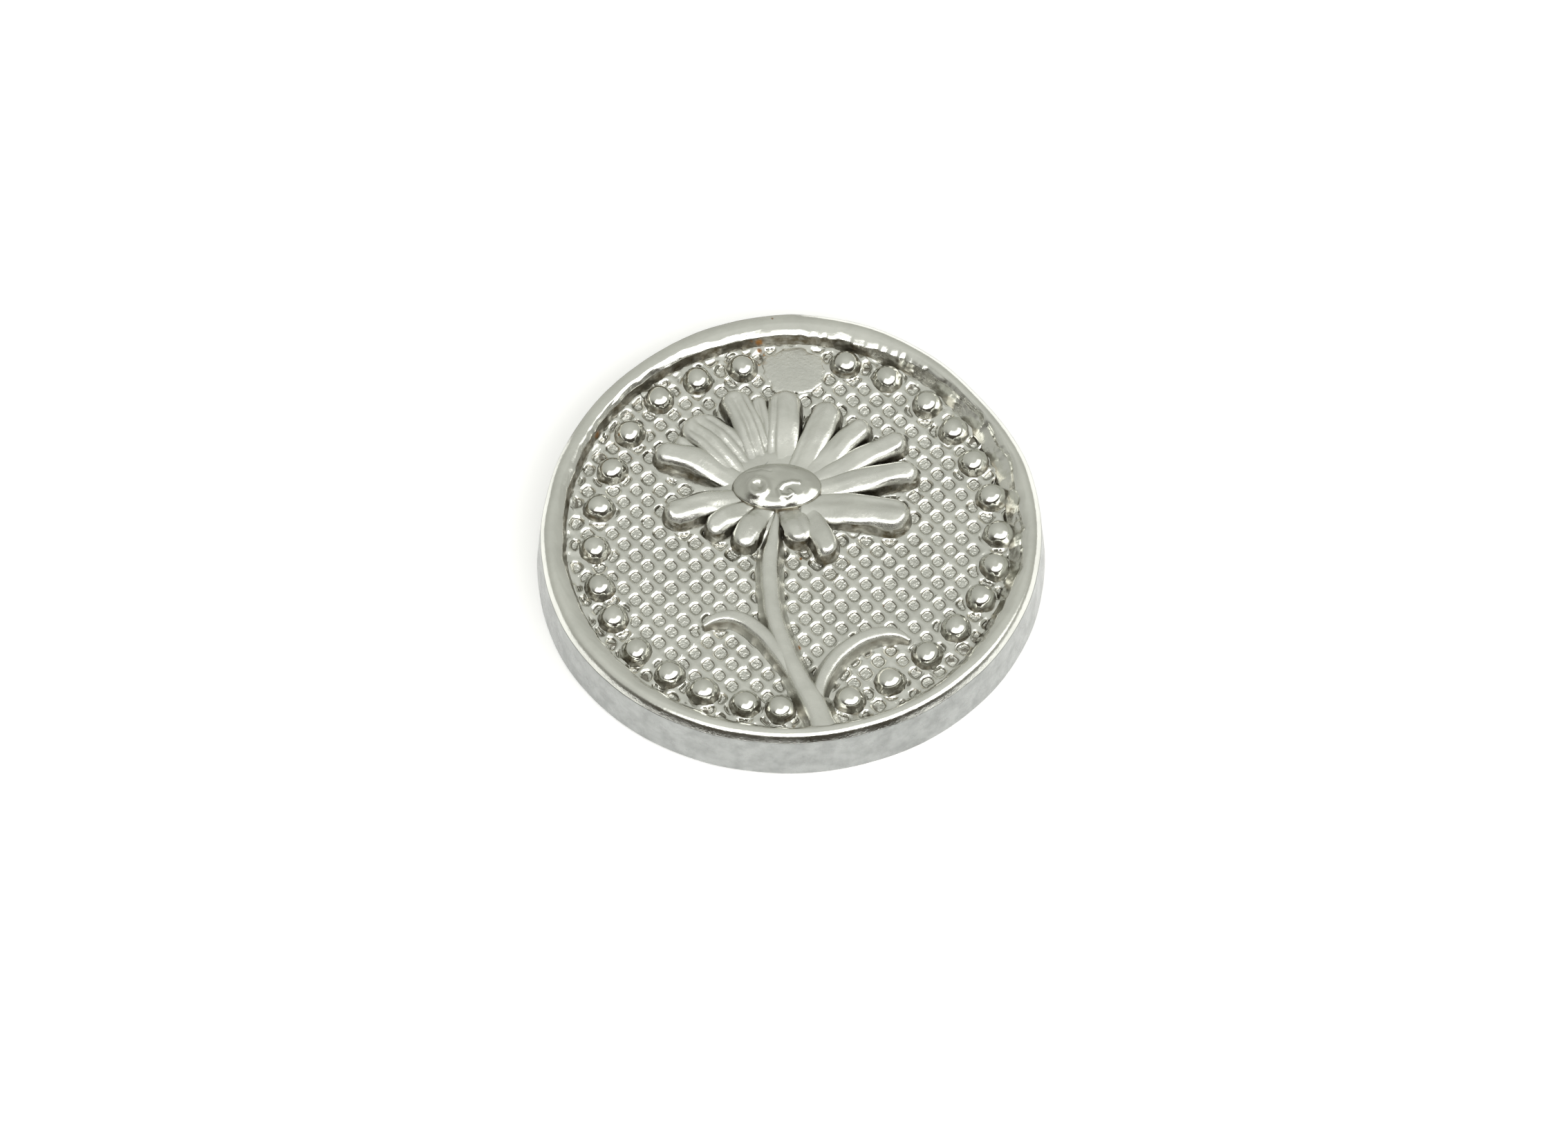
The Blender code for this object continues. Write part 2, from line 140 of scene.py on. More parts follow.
# The flower's centre: its oval, and on it a ringed pit, a raised curl and a scratch.
DOME_CENTRE = (-0.55, 1.95)
DOME_HALF = (1.85, 1.12)
DOME_CREST = 0.86
DOME_RING = (-1.32, 1.75)
DOME_RING_RADIUS = 0.36
DOME_PIT = (-1.25, 1.80)
DOME_CURL = (
    (0.30, 1.95), (0.05, 1.98), (-0.30, 1.86), (-0.50, 1.60), (-0.42, 1.34), (-0.12, 1.26),
    (0.08, 1.42), (-0.05, 1.55),
)
DOME_SCRATCH = ((-1.75, 2.55), (-1.2, 2.62), (-0.8, 2.5))

# Stem and leaves: x, y, width, height along the centre line.
STEM = (
    (-0.58, 0.95, 0.14, 0.46), (-0.60, 0.45, 0.34, 0.56), (-0.72, -0.5, 0.66, 0.58),
    (-0.84, -1.4, 0.80, 0.58), (-0.84, -2.2, 0.82, 0.58), (-0.78, -3.1, 0.80, 0.58),
    (-0.66, -4.0, 0.80, 0.59), (-0.38, -5.0, 0.84, 0.60), (-0.02, -6.0, 0.84, 0.61),
    (0.42, -7.0, 0.92, 0.62), (0.90, -7.9, 1.02, 0.63), (1.20, -8.75, 1.10, 0.62),
    (1.40, -9.35, 1.40, 0.60),
)
LEAF_LEFT = (
    (0.30, -7.3, 0.34, 0.44), (-0.05, -6.5, 0.54, 0.52), (-0.42, -5.8, 0.64, 0.57),
    (-0.85, -5.15, 0.68, 0.58), (-1.35, -4.58, 0.70, 0.58), (-1.9, -4.15, 0.68, 0.58),
    (-2.5, -3.98, 0.60, 0.56), (-3.05, -4.1, 0.46, 0.52), (-3.5, -4.4, 0.20, 0.38),
)
LEAF_RIGHT = (
    (1.10, -8.1, 0.44, 0.50), (1.15, -7.3, 0.60, 0.55), (1.38, -6.6, 0.68, 0.58),
    (1.76, -5.95, 0.70, 0.59), (2.25, -5.43, 0.70, 0.59), (2.85, -5.02, 0.68, 0.59),
    (3.4, -4.80, 0.64, 0.58), (3.9, -4.75, 0.56, 0.56), (4.35, -4.82, 0.42, 0.50), (4.75, -5.04, 0.18, 0.36),
)
# Half of the stem's and leaves' cross-section, from the foot to the middle: share of the width, share of the
# height.
STRAND_HALF_SECTION = (
    (-0.86, -0.20), (-0.78, 0.02), (-0.68, 0.22), (-0.58, 0.46), (-0.50, 0.68), (-0.42, 0.83),
    (-0.33, 0.93), (-0.20, 0.985), (-0.07, 1.0),
)
STRAND_SECTION = STRAND_HALF_SECTION + tuple((-side, rise) for side, rise in reversed(STRAND_HALF_SECTION))
STRAND_WIDE = 0.90          # narrows the widths above

# Lattice of pits: the cell's two steps, the pit's half size in cells, and its side as (distance outside its
# edge, depth).
LATTICE_ORIGIN = (0.58, -1.80)
LATTICE_P = (0.485, 0.52)
LATTICE_Q = (0.485, -0.50)
LATTICE_REACH = 20          # cells each way from the origin, more than the disc holds
LATTICE_STEP = 0.70         # length of a cell's side
PIT_HALF = 0.315
PIT_ROUND = 3.2             # power of the pit's rounded square, between 2 for a circle and a sharp square
PIT_SIDE = (
    (-0.22, 0.126), (-0.07, 0.137), (-0.050, 0.138), (-0.022, 0.127), (0.0, 0.082), (0.014, 0.070),
    (0.060, 0.031), (0.105, 0.006), (0.14, 0.0),
)
PIT_LOOPS = (0.105, 0.060, 0.014, -0.001, -0.022, -0.040, -0.085, -0.15)    # its loops of points, as above
PIT_SPOKES = 20             # points in each loop
WALL_BAND = (0.062, 0.080, 0.103, 0.117)    # depths between which a pit's wall is darkened by painted shade and tarnishing, with soft ends

# Rust stains as x, y, height, radius.
FIELD_RUST = (
    (0.30, -5.25, 1.8, 0.16), (3.72, -3.25, 1.75, 0.07), (0.40, -1.1, 1.8, 0.08), (-1.25, 8.75, 1.85, 0.16),
)
RIM_RUST = (
    (-7.75, 4.55, 2.1, 0.22), (-1.3, 9.0, 2.1, 0.20), (-1.6, 9.05, 2.2, 0.12), (-0.75, 9.85, 2.5, 0.07),
)

# Metal: its clean colour and the dark colour of tarnishing and painted shade, rust, how near the walls of a
# hollow are, and depths of the bumps.
BASE = (0.79, 0.795, 0.75)
DARK = (0.13, 0.11, 0.075)
RUST = (0.34, 0.17, 0.06)
DARKENED_ROUGHNESS = 0.45
PIT_WALL_SHADE_AND_TARNISH = 0.75
PIT_FLOOR_ROUGHNESS = 0.22
HOLLOW_REACH = 0.30 * MM
GRAIN_DEPTH = 0.02 * MM
PIT_FLOOR_LUMPS = 0.06 * MM

# The room's colours by height of the direction, in front of the object and behind it.
ROOM_AHEAD = (
    (0.0, (0.05, 0.045, 0.035)), (0.40, (0.09, 0.08, 0.065)), (0.62, (0.60, 0.60, 0.56)),
    (0.9, (0.80, 0.80, 0.76)), (1.0, (0.75, 0.755, 0.71)),
)
ROOM_BEHIND = (
    (0.0, (0.50, 0.50, 0.46)), (0.6, (0.58, 0.585, 0.54)), (0.9, (0.66, 0.665, 0.62)),
    (1.0, (0.75, 0.755, 0.71)),
)
# The softbox: brightness, soft left and right ends as degrees to the right of the front, and soft lower and
# upper ends as heights of the direction.
SOFTBOX = 2.6
SOFTBOX_LEFT = (-48, -32)
SOFTBOX_RIGHT = (108, 76)
SOFTBOX_LOWER = (0.43, 0.48)
SOFTBOX_UPPER = (0.93, 0.76)
FLOOR_REACH = 1.5           # metres from the middle
FLOOR_GLOW = 0.30

# The camera: degrees up from the horizon, lens in millimetres, distance, and how far it sits to the right of
# the disc's middle and above it, as the picture sees them.
CAMERA_ELEVATION = 59.3
CAMERA_LENS = 171.9
CAMERA_AWAY = 300.0
CAMERA_RIGHT = -0.276
CAMERA_ABOVE = -1.637


def wave(angle):
    """Radius factor of the uneven outline."""
    total = 1.0
    for turns, share, phase in OUTLINE_WAVES:
        total = total + share * np.cos(turns * angle - math.radians(phase))
    return total


def bead_centres():
    """The beads' middles as (x, y)."""
    return [(r * math.cos(math.radians(a)), r * math.sin(math.radians(a))) for a, r in BEADS]


def centring():
    """How far the CAD moved the layout to put its box on the origin, read from the first bead."""
    low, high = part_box("bead_01")
    x, y = bead_centres()[0]
    return np.array([x - (low[0] + high[0]) / 2 / MM, y - (low[1] + high[1]) / 2 / MM, 0.0])


SHIFT = centring()


def noise(x, y, size, seed):
    """Smooth value noise from -1 to 1 with features of about the given size."""
    gx, gy = x / size, y / size
    ix, iy = np.floor(gx), np.floor(gy)
    fx, fy = gx - ix, gy - iy
    fx, fy = fx * fx * (3 - 2 * fx), fy * fy * (3 - 2 * fy)

    def corner(dx, dy):
        value = np.sin((ix + dx) * 127.1 + (iy + dy) * 311.7 + seed * 74.7) * 43758.5453
        return 2 * (value - np.floor(value)) - 1

    near = corner(0, 0) * (1 - fx) + corner(1, 0) * fx
    far = corner(0, 1) * (1 - fx) + corner(1, 1) * fx
    return near * (1 - fy) + far * fy


def ease(low, high, value):
    """0 to 1 as the value goes from low to high, smoothly."""
    t = np.clip((value - low) / (high - low), 0.0, 1.0)
    return t * t * (3 - 2 * t)


def add_mesh(name, points, faces):
    """A smooth shaded object from millimetre points in the layout frame."""
    mesh = bpy.data.meshes.new(name)
    placed = (np.asarray(points, dtype=float) - SHIFT) * MM
    mesh.from_pydata(placed.tolist(), [], faces)
    mesh.validate()
    mesh.shade_smooth()
    obj = bpy.data.objects.new(name, mesh)
    bpy.context.scene.collection.objects.link(obj)
    return obj


def grid_faces(rows, cols):
    """Quads of a rows by cols grid of points, joined round the columns."""
    here = np.arange(rows * cols).reshape(rows, cols)
    after = np.roll(here, -1, axis=1)
    quads = np.stack([here[:-1], after[:-1], after[1:], here[1:]], axis=-1)
    return quads.reshape(-1, 4).tolist()


def add_solid(name, rings):
    """A closed body from stacked closed rings, with a point in the middle of each end."""
    rows, cols = rings.shape[:2]
    points = rings.reshape(-1, 3)
    faces = grid_faces(rows, cols)
    first, last = len(points), len(points) + 1
    points = np.vstack([points, rings[0].mean(axis=0), rings[-1].mean(axis=0)])
    top = (rows - 1) * cols
    faces += [[first, (i + 1) % cols, i] for i in range(cols)]
    faces += [[last, top + i, top + (i + 1) % cols] for i in range(cols)]
    return add_mesh(name, points, faces)


def place(piece, node, material):
    """Dress a piece and put it in its CAD node's place."""
    piece.data.materials.append(material)
    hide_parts(node)
    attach(piece, "root")


# ---------------------------------------------------------------- materials

def add_node(tree, kind, **inputs):
    """A node with its inputs set by name."""
    node = tree.nodes.new(kind)
    for key, value in inputs.items():
        node.inputs[key.replace("_", " ")].default_value = value
    return node


def noise_texture(tree, coordinates, scale, detail=3.0, stretch=None):
    """Noise on object coordinates, in features a metre; stretch squeezes it along each axis."""
    source = coordinates
    if stretch is not None:
        mapping = add_node(tree, "ShaderNodeMapping", Scale=stretch)
        tree.links.new(coordinates, mapping.inputs["Vector"])
        source = mapping.outputs["Vector"]
    texture = add_node(tree, "ShaderNodeTexNoise", Scale=scale, Detail=detail, Roughness=0.6)
    tree.links.new(source, texture.inputs["Vector"])
    return texture.outputs["Fac"]


def ramp(tree, source, stops):
    """Colours along a value, as (place, colour) stops."""
    node = tree.nodes.new("ShaderNodeValToRGB")
    while len(node.color_ramp.elements) < len(stops):
        node.color_ramp.elements.new(0.5)
    for element, (place_at, colour) in zip(node.color_ramp.elements, stops):
        element.position = place_at
        element.color = (*colour, 1.0)
    tree.links.new(source, node.inputs["Fac"])
    return node.outputs["Color"]


def grey(value):
    return (value, value, value)


def mix(tree, factor, first, second, mode="MIX"):
    """A mix of two colours. The factor and the colours are sockets or plain values."""
    node = tree.nodes.new("ShaderNodeMix")
    node.data_type = "RGBA"
    node.blend_type = mode
    for name, value in (("Factor_Float", factor), ("A_Color", first), ("B_Color", second)):
        socket = next(s for s in node.inputs if s.identifier == name)
        if isinstance(value, bpy.types.NodeSocket):
            tree.links.new(value, socket)
        else:
            socket.default_value = value if name == "Factor_Float" else (*value, 1.0)
    return next(s for s in node.outputs if s.identifier == "Result_Color")


def multiply(tree, first, second):
    """A product of two sockets or plain numbers."""
    node = tree.nodes.new("ShaderNodeMath")
    node.operation = "MULTIPLY"
    for socket, value in zip(node.inputs, (first, second)):
        if isinstance(value, bpy.types.NodeSocket):
            tree.links.new(value, socket)
        else:
            socket.default_value = value
    return node.outputs[0]


def map_range(tree, source, low, high):
    """0 to 1 as the source goes from low to high, smoothly."""
    node = tree.nodes.new("ShaderNodeMapRange")
    node.interpolation_type = "SMOOTHSTEP"
    node.inputs["From Min"].default_value = low
    node.inputs["From Max"].default_value = high
    tree.links.new(source, node.inputs["Value"])
    return node.outputs[0]


def stain(tree, where, colour, spot):
    """Mix rust into a colour around one spot, with a ragged border."""
    x, y, z, radius = spot
    centre = [(value - shift) * MM for value, shift in zip((x, y, z), SHIFT)]
    away = tree.nodes.new("ShaderNodeVectorMath")
    away.operation = "DISTANCE"
    away.inputs[1].default_value = centre
    tree.links.new(where, away.inputs[0])
    ragged = add_node(tree, "ShaderNodeMath")
    ragged.operation = "MULTIPLY_ADD"
    tree.links.new(noise_texture(tree, where, 9000.0, 3.0), ragged.inputs[0])
    ragged.inputs[1].default_value = radius * MM * 1.2
    tree.links.new(away.outputs["Value"], ragged.inputs[2])
    core = map_range(tree, ragged.outputs[0], radius * MM * 1.7, radius * MM * 0.9)
    return mix(tree, core, colour, RUST)


def pit_masks(tree, where):
    """How much a point is on a pit's wall, and how much on its floor, from its height."""
    split = tree.nodes.new("ShaderNodeSeparateXYZ")
    tree.links.new(where, split.inputs[0])
    level = split.outputs["Z"]
    lip, upper, lower, ground = [(FIELD - depth) * MM for depth in WALL_BAND]
    wall = multiply(tree, map_range(tree, level, lip, upper), map_range(tree, level, ground, lower))
    return wall, map_range(tree, level, lower, ground)


def roughen(tree, where, amount, normal):
    """A lumpy surface on top of another bump, as strong as the amount."""
    lumps = add_node(tree, "ShaderNodeBump", Distance=PIT_FLOOR_LUMPS)
    tree.links.new(amount, lumps.inputs["Strength"])
    tree.links.new(noise_texture(tree, where, 11000.0, 2.0), lumps.inputs["Height"])
    tree.links.new(normal, lumps.inputs["Normal"])
    return lumps.outputs["Normal"]


def metal(name, base, dark, rough, grain, tarnish_and_shade=0.6, steep=1.0, mottle=0.90, cloudy=700.0, streak=None,
          rust=(), pits=False):
    """Worn struck metal.

    base is its clean colour and dark the colour of its tarnishing and of painted shade, rough its least and
    its most roughness, and grain the strength of the fine bump, which streak stretches. Tarnishing and
    painted shade lie in hollows, from ambient occlusion, by the amount tarnish_and_shade, and painted dark
    reflection with tarnishing lies on steep flanks by the amount steep. The clean colour is mottled down to
    the share mottle, in clouds of which cloudy go to a metre. rust lists stains, and pits adds painted shade
    and tarnishing to the pits' walls and rough floors to the pits.
    """
    material = bpy.data.materials.new(name)
    material.use_nodes = True
    tree = material.node_tree
    shader = tree.nodes["Principled BSDF"]
    shader.inputs["Metallic"].default_value = 1.0
    where = tree.nodes.new("ShaderNodeTexCoord").outputs["Object"]
    cloud = noise_texture(tree, where, cloudy, 5.0)
    tone = ramp(tree, cloud, ((0.35, tuple(c * mottle for c in base)), (0.62, base)))
    # Tarnishing and painted shade in hollows: ambient occlusion darkens creases and recesses towards the dark
    # colour.
    hollow = add_node(tree, "ShaderNodeAmbientOcclusion", Distance=HOLLOW_REACH)
    hollow.samples = 6
    grime_and_shade = ramp(tree, hollow.outputs["AO"], ((0.15, grey(1)), (0.70, grey(0))))
    patch = ramp(tree, noise_texture(tree, where, 2200.0, 4.0), ((0.30, grey(0.55)), (0.65, grey(1))))
    # Painted dark reflection and tarnishing on steep flanks: they darken from a slope of about 57 degrees,
    # fully past about 71.
    lean = tree.nodes.new("ShaderNodeSeparateXYZ")
    tree.links.new(tree.nodes.new("ShaderNodeNewGeometry").outputs["Normal"], lean.inputs[0])
    flank_shade_and_tarnish = ramp(tree, lean.outputs["Z"], ((0.32, grey(steep)), (0.55, grey(0))))
    shade = mix(tree, tarnish_and_shade, (0, 0, 0), grime_and_shade)
    amount = mix(tree, 1.0, mix(tree, 1.0, shade, flank_shade_and_tarnish, "LIGHTEN"), patch, "MULTIPLY")
    colour = mix(tree, amount, tone, dark)
    for spot in rust:
        colour = stain(tree, where, colour, spot)
    low, high = rough
    gloss = ramp(tree, noise_texture(tree, where, 1100.0, 5.0), ((0.35, grey(low)), (0.7, grey(high))))
    gloss = mix(tree, amount, gloss, grey(DARKENED_ROUGHNESS))
    fine = noise_texture(tree, where, 9000.0, 4.0, streak)
    bump = add_node(tree, "ShaderNodeBump", Strength=grain, Distance=GRAIN_DEPTH)
    tree.links.new(fine, bump.inputs["Height"])
    normal = bump.outputs["Normal"]
    if pits:
        wall, ground = pit_masks(tree, where)
        # Painted shade and tarnishing on the pits' walls: a band of depths is darkened towards the dark
        # colour.
        colour = mix(tree, multiply(tree, wall, PIT_WALL_SHADE_AND_TARNISH), colour, dark)
        gloss = mix(tree, ground, gloss, grey(PIT_FLOOR_ROUGHNESS))
        normal = roughen(tree, where, ground, normal)
    tree.links.new(colour, shader.inputs["Base Color"])
    tree.links.new(gloss, shader.inputs["Roughness"])
    tree.links.new(normal, shader.inputs["Normal"])
    return material


BEAD_METAL = metal("bead_metal", (0.73, 0.735, 0.685), DARK, (0.07, 0.15), 0.15)
# The petals' dark colour is deeper, so their steep walls take darker tarnishing and painted shade.
PETAL_METAL = metal("petal_metal", BASE, (0.10, 0.085, 0.055), (0.19, 0.31), 0.50, 0.4)
DOME_METAL = metal("dome_metal", (0.65, 0.655, 0.605), DARK, (0.12, 0.20), 0.30)
STEM_METAL = metal("stem_metal", BASE, DARK, (0.20, 0.32), 0.40, 0.35, steep=0.85)
FIELD_METAL = metal("field_metal", (0.78, 0.785, 0.74), DARK, (0.13, 0.24), 0.35, 0.35,
                    rust=FIELD_RUST, pits=True)
RIM_METAL = metal("rim_metal", BASE, DARK, (0.09, 0.20), 0.30, 0.4, rust=RIM_RUST)
PAD_METAL = metal("pad_metal", BASE, DARK, (0.22, 0.32), 1.6, 0.3)
# The edge wall's clean colour is darker than the rest of the metal: painted shade that dims its reflection of
# the bright floor.
DIMMED_EDGE_METAL = metal("edge_metal", (0.43, 0.44, 0.432), (0.30, 0.30, 0.28), (0.20, 0.34), 0.9, 0.2,
                   steep=0.0, mottle=0.76, cloudy=1500.0, streak=(1.0, 1.0, 0.35))


# ---------------------------------------------------------------- disc

def hump(angle, centre, spread):
    """1 at a bearing in degrees, falling away smoothly on both sides."""
    away = (np.degrees(angle) - centre + 180) % 360 - 180
    return np.exp(-(away / spread) ** 2)


def outer_edge(angle):
    """Radius of the crease between the edge wall and the rounded rim."""
    x, y = np.cos(angle) * RADIUS, np.sin(angle) * RADIUS
    bearing, spread, depth = EDGE_FLAT
    return RADIUS * wave(angle) + 0.018 * noise(x, y, 1.6, 8) - depth * hump(angle, bearing, spread)


def crease_height(angle):
    """Height of that crease, which rises to the back."""
    x, y = np.cos(angle) * RADIUS, np.sin(angle) * RADIUS
    uneven = 0.02 * noise(x, y, 1.3, 9) + 0.008 * noise(x, y, 0.35, 10)
    return SHOULDER + BACK_RISE * np.minimum(1.0, 1.4 * hump(angle, *BACK_SPAN)) + uneven


def ring(angle, reach, height):
    """Points around the disc. The radius and the height are one number, or one for each angle."""
    reach, height, _ = np.broadcast_arrays(reach, height, angle)
    return np.stack([reach * np.cos(angle), reach * np.sin(angle), height], -1)


def build_disc_body():
    """The edge wall, drafted outward to the foot and faintly dented, and the flat back."""
    angle = np.linspace(0, math.tau, RING_POINTS, endpoint=False)
    edge, top = outer_edge(angle), crease_height(angle)
    around, foot = angle * RADIUS, edge + FLARE
    rings = [ring(angle, foot - 0.45, 0.0)]
    for t in np.linspace(0.0, math.pi / 2, 8):
        reach = foot - 0.01 - FOOT_ROUND * (1 - math.sin(t))
        rings.append(ring(angle, reach, FOOT_ROUND * (1 - math.cos(t))))
    for t in np.linspace(0.02, 1.0, 26):
        height = FOOT_ROUND + (top - FOOT_ROUND) * t
        dent = 0.010 * noise(around, height, 0.8, 3) + 0.004 * noise(around, height * 1.5, 0.22, 4)
        reach = foot - 0.01 - (FLARE - 0.01) * t + dent * math.sin(math.pi * t)
        rings.append(ring(angle, reach, height))
    rings.append(ring(angle, edge - 0.25, top - 0.02))
    rings.append(ring(angle, edge - 0.5, CORE))
    piece = add_solid("disc_body", np.array(rings))
    place(piece, "blank", DIMMED_EDGE_METAL)


def build_rim():
    """The raised ring: rounded outside, sloping gently inward to a ragged lip, then a steep inner wall."""
    angle = np.linspace(0, math.tau, RING_POINTS, endpoint=False)
    x, y = np.cos(angle) * RADIUS, np.sin(angle) * RADIUS
    turn = np.degrees(angle)
    edge, shoulder = outer_edge(angle), crease_height(angle)
    ragged = 0.035 * noise(x, y, 0.5, 11) + 0.05 * noise(x, y, 1.6, 12) + 0.015 * noise(x, y, 0.2, 13)
    bite = ease(*NOTCHED[0], turn) * ease(*NOTCHED[1], turn)
    slack = hump(angle, *SLACK_SPAN)
    lip = RIM_INNER + 0.14 + ragged * (1 + slack) + 0.10 * slack
    lip = lip + bite * (0.07 * noise(x, y, 0.42, 14) + 0.05 * noise(x, y, 0.19, 18))
    foot = RIM_INNER - 0.03 + 0.5 * ragged - 0.26 * slack
    reach, height = edge - 0.004, shoulder
    rings = [ring(angle, edge - 0.06, shoulder - 0.06), ring(angle, reach, height)]
    squash = (RIM_TOP - 0.02 - shoulder) / RIM_ROUND_RISE
    for step, slope in RIM_ROUND:
        reach, height = reach - step, height + step * math.tan(math.radians(slope)) * squash
        rings.append(ring(angle, reach, height))
    crest, crown = reach, height
    fall = RIM_FALL - 0.02 * slack
    for t in np.linspace(0.08, 1.0, 12):
        ripple = 0.010 * noise(x, y + 3 * t, 0.8, 15) + 0.004 * noise(x, y + 2 * t, 0.25, 16)
        level = crown - fall * t ** 1.8 + ripple * math.sin(math.pi * t)
        rings.append(ring(angle, crest * (1 - t) + lip * t, level))
    rings.append(ring(angle, lip - 0.02, crown - fall - 0.02))
    brink, top = lip - 0.035, crown - fall - 0.06
    rings.append(ring(angle, brink, top))
    for t in np.linspace(0.15, 1, 7):
        rough = 0.02 * noise(x, y + 5 * t, 0.25, 17) * math.sin(math.pi * t)
        rings.append(ring(angle, brink * (1 - t) + foot * t + rough, top * (1 - t) + (FIELD + 0.02) * t))
    rings.append(ring(angle, foot - 0.12, FIELD - 0.10))
    rings.append(ring(angle, RIM_INNER, CORE))
    rings.append(ring(angle, edge - 0.2, CORE))
    points = np.array(rings)
    rows, cols = points.shape[:2]
    faces = grid_faces(rows, cols)
    last = (rows - 1) * cols
    faces += [[last + i, last + (i + 1) % cols, (i + 1) % cols, i] for i in range(cols)]
    piece = add_mesh("rim_ring", points.reshape(-1, 3), faces)
    place(piece, "rim", RIM_METAL)


def line_gap(x, y, line):
    """Distance from each point to a chain of (x, y, half width) knots, less the width there."""
    best = np.full(x.shape, 1e9)
    for (ax, ay, aw), (bx, by, bw) in zip(line, line[1:]):
        dx, dy = bx - ax, by - ay
        t = np.clip(((x - ax) * dx + (y - ay) * dy) / (dx * dx + dy * dy), 0, 1)
        best = np.minimum(best, np.hypot(x - ax - t * dx, y - ay - t * dy) - aw - t * (bw - aw))
    return best


def field_height(x, y, outside, luck):
    """Height of the field's surface: pits that die out beside the relief, uneven ground between."""
    r = np.hypot(x, y)
    z = FIELD + 0.006 * noise(x, y, 1.9, 41) + 0.004 * noise(x, y, 0.45, 42)
    pad = np.hypot((x - PAD_CENTRE[0]) / (PAD_HALF[0] + 0.1), (y - PAD_CENTRE[1]) / (PAD_HALF[1] + 0.1))
    beads = np.full(x.shape, 1e9)
    for bx, by in bead_centres():
        beads = np.minimum(beads, np.hypot(x - bx, y - by))
    plants = np.full(x.shape, 1e9)
    for chain in (STEM, LEAF_LEFT, LEAF_RIGHT):
        plants = np.minimum(plants, line_gap(x, y, [(px, py, 0.6 * width) for px, py, width, _ in chain]))
    for root, tip, width, _, _, _ in PETALS:
        half = width / 2 + WALL_RUN
        ex, ey = np.subtract(tip, root) / math.dist(root, tip) * half
        plants = np.minimum(plants, line_gap(x, y, ((*root, half * 0.8), (tip[0] - ex, tip[1] - ey, half))))
    bed = ease(2.5, 1.6, np.hypot((x - DOME_CENTRE[0]) / 1.12, y - DOME_CENTRE[1]))
    # The pits die out near the pad, the beads, the plant, the rim and the flower's centre.
    clear = ease(0.85, 1.05, pad + 0.12 * noise(x, y, 0.5, 43))
    clear *= ease(0.64, 0.76, beads) * ease(0.0, 0.12, plants) * ease(8.98, 8.80, r) * (1 - bed)
    side_at, side_depth = zip(*PIT_SIDE)
    depth = np.interp(outside, side_at, side_depth) * (1 + 0.06 * luck)
    depth -= 0.012 * noise(x, y, 0.07, 31) * ease(0.0, -0.05, outside)
    z -= depth * clear
    z += BED_RISE * bed + 0.035 * ease(0.16, 0.0, plants) + 0.012 * ease(0.78, 0.64, beads)
    return z + ease(8.1, 8.7, r) * 0.065 * noise(x, y, 0.24, 44) + 0.05 * ease(8.7, 9.1, r)


def border_loop(faces):
    """The points along the open border of a sheet of faces, in order."""
    edges = set()
    for face in faces:
        for a, b in zip(face, face[1:] + face[:1]):
            if (b, a) in edges:
                edges.remove((b, a))
            else:
                edges.add((a, b))
    follow = dict(edges)
    start = min(follow)
    loop = [start]
    while follow[loop[-1]] != start:
        loop.append(follow[loop[-1]])
    return loop


